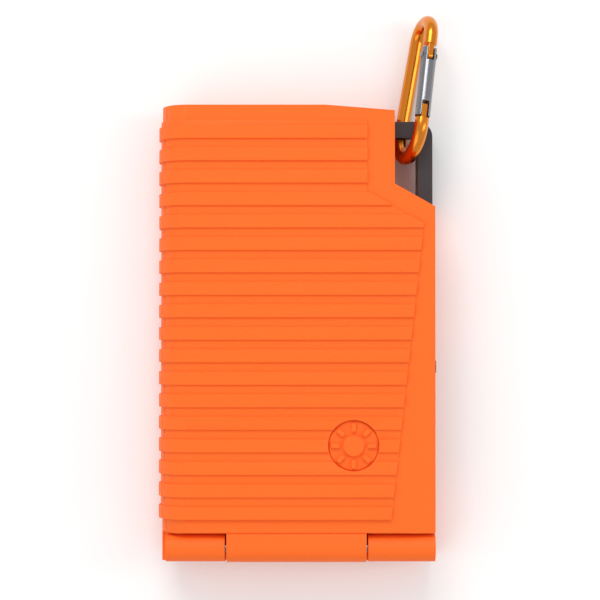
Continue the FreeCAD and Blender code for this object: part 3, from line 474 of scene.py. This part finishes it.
roundPower = 2.0
hook = {"bigBend": 9.6 * mm, "smallBend": 6.6 * mm, "span": 30.3 * mm, "wire": 2.3 * mm,
        "lean": 10.0, "turn": 16.5, "straightFrom": 0.2 * mm, "edge": 0.18 * mm,
        "flatThick": 1.0 * mm, "boxyPower": 9.0, "bigSteps": 72, "smallSteps": 56, "around": 56,
        "smooth": 35}
nose = {"root": 1.7 * mm, "end": 6.3 * mm, "wide": 1.7 * mm, "notchLow": 3.9 * mm,
        "notchHigh": 5.7 * mm, "notchShift": 0.95 * mm, "notchWide": 0.75 * mm}
tongue = {"root": 27.3 * mm, "pivot": 23.4 * mm, "wide": 1.8 * mm, "turnPart": 0.985, "steps": 16}

hookCentre = np.array(joints["carabiner_swing"]["pos_m"])
hookLean, hookTurn = np.radians([hook["lean"], hook["turn"]])
alongHook = np.array([np.sin(hookLean), np.cos(hookLean), 0.0])
acrossHook = np.array([np.sin(hookTurn) * alongHook[1], -np.sin(hookTurn) * alongHook[0],
                       np.cos(hookTurn)])
normalHook = np.cross(alongHook, acrossHook)
bendStep = hook["bigBend"] - hook["smallBend"]
gateLean = 2 * math.asin(bendStep / math.hypot(hook["span"], bendStep))
gateOut = np.array([math.cos(gateLean), math.sin(gateLean)])
gateAlong = np.array([-math.sin(gateLean), math.cos(gateLean)])


def inHook(flat):
    # from the hook's own plane to the object's axes
    return flat[:, :1] * acrossHook + flat[:, 1:2] * alongHook


def gateLine(steps):
    # points on the gate's middle line, which touches both bends, at steps along it
    return hook["bigBend"] * gateOut + np.asarray(steps)[:, None] * gateAlong


def bend(centre, radius, turn):
    # a circle's points at the given turns, and the outward way at each of them
    outward = np.stack([np.cos(turn), np.sin(turn)], 1)
    return np.array(centre) + radius * outward, outward


def stations(points, outward, wide, thick, power, shift=0.0):
    # one run of the sweep, with each value given to every station of the run
    values = [np.broadcast_to(value, len(points)) for value in (wide, thick, power, shift)]
    return points, np.broadcast_to(outward, points.shape), *values


def hookLoop():
    # the wire runs along the gate's line, round the big bend, up the spine and round the small bend;
    # it is round but for the flat nose and the flat tongue, whose end is a half circle
    edge, wire, flat, boxy = hook["edge"], hook["wire"], hook["flatThick"], hook["boxyPower"]
    noseStep, noseShift, noseWide, noseThick = np.array([
        (nose["end"], 0, nose["wide"] - edge, flat - edge),
        (nose["end"] - edge, 0, nose["wide"], flat),
        (nose["notchHigh"], 0, nose["wide"], flat),
        (nose["notchHigh"], nose["notchShift"], nose["notchWide"], flat),
        (nose["notchLow"], nose["notchShift"], nose["notchWide"], flat),
        (nose["notchLow"], 0, nose["wide"], flat),
        (nose["root"], 0, nose["wide"], flat)]).T
    noseShoulder = [nose["root"], nose["root"] - edge, hook["straightFrom"]]
    noseRound = [wire - edge, wire, wire]
    bigTurn = np.linspace(gateLean, -np.pi, hook["bigSteps"])
    smallTurn = np.linspace(np.pi, gateLean, hook["smallSteps"])
    tongueShoulder = [tongue["root"] + edge, tongue["root"]]
    tongueRound = [wire, wire - edge]
    endTurn = np.linspace(0, np.pi / 2 * tongue["turnPart"], tongue["steps"])
    tongueStep = np.append(tongue["root"], tongue["pivot"] - tongue["wide"] * np.sin(endTurn))
    tongueWide = np.append(tongue["wide"], tongue["wide"] * np.cos(endTurn))
    runs = [
        stations(gateLine(noseStep), gateOut, noseWide, noseThick, boxy, noseShift),
        stations(gateLine(noseShoulder), gateOut, noseRound, noseRound, roundPower),
        stations(*bend((0, 0), hook["bigBend"], bigTurn), wire, wire, roundPower),
        stations(*bend((-bendStep, hook["span"]), hook["smallBend"], smallTurn), wire, wire, roundPower),
        stations(gateLine(tongueShoulder), gateOut, tongueRound, tongueRound, roundPower),
        stations(gateLine(tongueStep), gateOut, tongueWide, flat, boxy),
    ]
    middle, outward, wide, thick, power, shift = (np.concatenate(column) for column in zip(*runs))
    path = hookCentre + inHook(middle + shift[:, None] * outward)
    sideways = np.broadcast_to(normalHook, path.shape)
    points, faces = sweep(path, inHook(outward), sideways, wide, thick, power, hook["around"])
    loop = newPiece("hookLoop", "carabiner", slotOf["carabiner_body"], points, faces, hook["smooth"])
    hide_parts("carabiner_body")


coil = {"from": 12.2 * mm, "to": 20.4 * mm, "radius": 0.78 * mm, "wire": 0.16 * mm, "turns": 16,
        "stations": 14, "around": 8, "smooth": 80}


def gateCoil():
    # a helix: the turn grows evenly with the step along the gate
    count = coil["turns"] * coil["stations"] + 1
    turn = np.linspace(0, 2 * np.pi * coil["turns"], count)
    middle = hookCentre + inHook(gateLine(np.linspace(coil["from"], coil["to"], count)))
    outward = inHook(gateOut[None, :])[0]
    radial = np.cos(turn)[:, None] * outward + np.sin(turn)[:, None] * normalHook
    forward = np.broadcast_to(inHook(gateAlong[None, :])[0], radial.shape)
    wire = np.full(count, coil["wire"])
    points, faces = sweep(middle + coil["radius"] * radial, radial, forward, wire, wire,
                          np.full(count, roundPower), coil["around"])
    spring = newPiece("gateCoil", "gate", slotOf["gate_spring"], points, faces, coil["smooth"])
    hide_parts("gate_spring")


dome = {"rings": 7, "around": 28, "turnPart": 0.97, "sunkPart": 0.4, "smooth": 50}


def domes(name, body, slot, centres, axis, cap):
    # round caps: the radius falls as a cosine and the height grows as a sine of the same turn
    axis = np.asarray(axis, float)
    aside = np.cross(axis, (0.0, 0.0, 1.0))
    aside /= np.linalg.norm(aside)
    upward = np.cross(axis, aside)
    rise = np.linspace(0, np.pi / 2 * dome["turnPart"], dome["rings"])
    lift = np.append(-dome["sunkPart"] * cap["height"], cap["height"] * np.sin(rise))
    reach = np.append(cap["radius"], cap["radius"] * np.cos(rise))
    turn = np.linspace(0, 2 * np.pi, dome["around"], endpoint=False)
    circle = np.cos(turn)[:, None] * aside + np.sin(turn)[:, None] * upward
    shape = (lift[:, None, None] * axis + reach[:, None, None] * circle[None]).reshape(-1, 3)
    points = (np.asarray(centres)[:, None, :] + shape[None]).reshape(-1, 3)
    oneCap = gridFaces(len(lift), dome["around"])
    faces = [[index + number * len(shape) for index in face]
             for number in range(len(centres)) for face in oneCap]
    newPiece(name, body, slot, points, faces, dome["smooth"])


def boxOf(nodeName):
    return np.array([corner[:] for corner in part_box(nodeName)])


def solidPlaces(nodeName, axis, gap):
    # the middles of a node's separate solids, told apart by gaps in their places along one axis
    points = np.array([vertex.co[:] for vertex in nodes[nodeName].data.vertices])
    points = points[np.argsort(points[:, axis])]
    breaks = np.flatnonzero(np.diff(points[:, axis]) > gap) + 1
    return np.array([(part.min(0) + part.max(0)) / 2 for part in np.split(points, breaks)])


rivet = {"radius": 1.15 * mm, "height": 0.32 * mm, "reach": 2.55 * mm}
lens = {"radius": 0.86 * mm, "height": 0.22 * mm, "leastGap": 0.5 * mm}


def rivetHeads():
    pivotMiddle = hookCentre + inHook(gateLine([tongue["pivot"]]))[0]
    for name, way in (("rivetNear", -normalHook), ("rivetFar", normalHook)):
        domes(name, "gate", "gate_silver", [pivotMiddle + way * rivet["reach"]], way, rivet)


def lightLenses():
    # the row of lights runs along Y, and each lens sits on its light's outer face
    lights = solidPlaces("status_lights", 1, lens["leastGap"])
    lights[:, 0] = boxOf("status_lights")[1][0]
    domes("lightLenses", "base", slotOf["status_lights"], lights, (1, 0, 0), lens)


contact = {"count": 4, "pitch": 2.3 * mm, "halfWide": 0.5 * mm, "halfHigh": 0.05 * mm,
           "rootGap": 2.0 * mm, "mouthGap": 1.6 * mm, "tongueHalf": 0.9 * mm,
           "smooth": 30}


def usbContacts():
    # nickel strips under each wide socket's tongue, as boxes moved to their places
    corner = np.array([(x, y, z) for x in (-1, 1) for y in (-1, 1) for z in (-1, 1)], float)
    sides = np.array([(0, 1, 3, 2), (4, 6, 7, 5), (0, 4, 5, 1), (2, 3, 7, 6), (0, 2, 6, 4), (1, 5, 7, 3)])
    shifts = (np.arange(contact["count"]) - (contact["count"] - 1) / 2) * contact["pitch"]
    centres, halves = [], []
    for nodeName in ("usb_a_socket_near", "usb_a_socket_far"):
        low, high = boxOf(nodeName)
        middle = (low + high) / 2
        level = middle[2] - contact["tongueHalf"] - contact["halfHigh"] / 2
        start, end = low[0] + contact["rootGap"], high[0] - contact["mouthGap"]
        for shift in shifts:
            centres.append(((start + end) / 2, middle[1] + shift, level))
            halves.append(((end - start) / 2, contact["halfWide"], contact["halfHigh"]))
    points = np.array(centres)[:, None, :] + corner[None] * np.array(halves)[:, None, :]
    faces = np.arange(len(centres))[:, None, None] * len(corner) + sides[None]
    newPiece("usbContacts", "base", "magnet_nickel", points.reshape(-1, 3), faces.reshape(-1, 4).tolist(),
             contact["smooth"])


hookLoop()
gateCoil()
rivetHeads()
lightLenses()
usbContacts()
print("carabiner, coil, domes and contacts made")
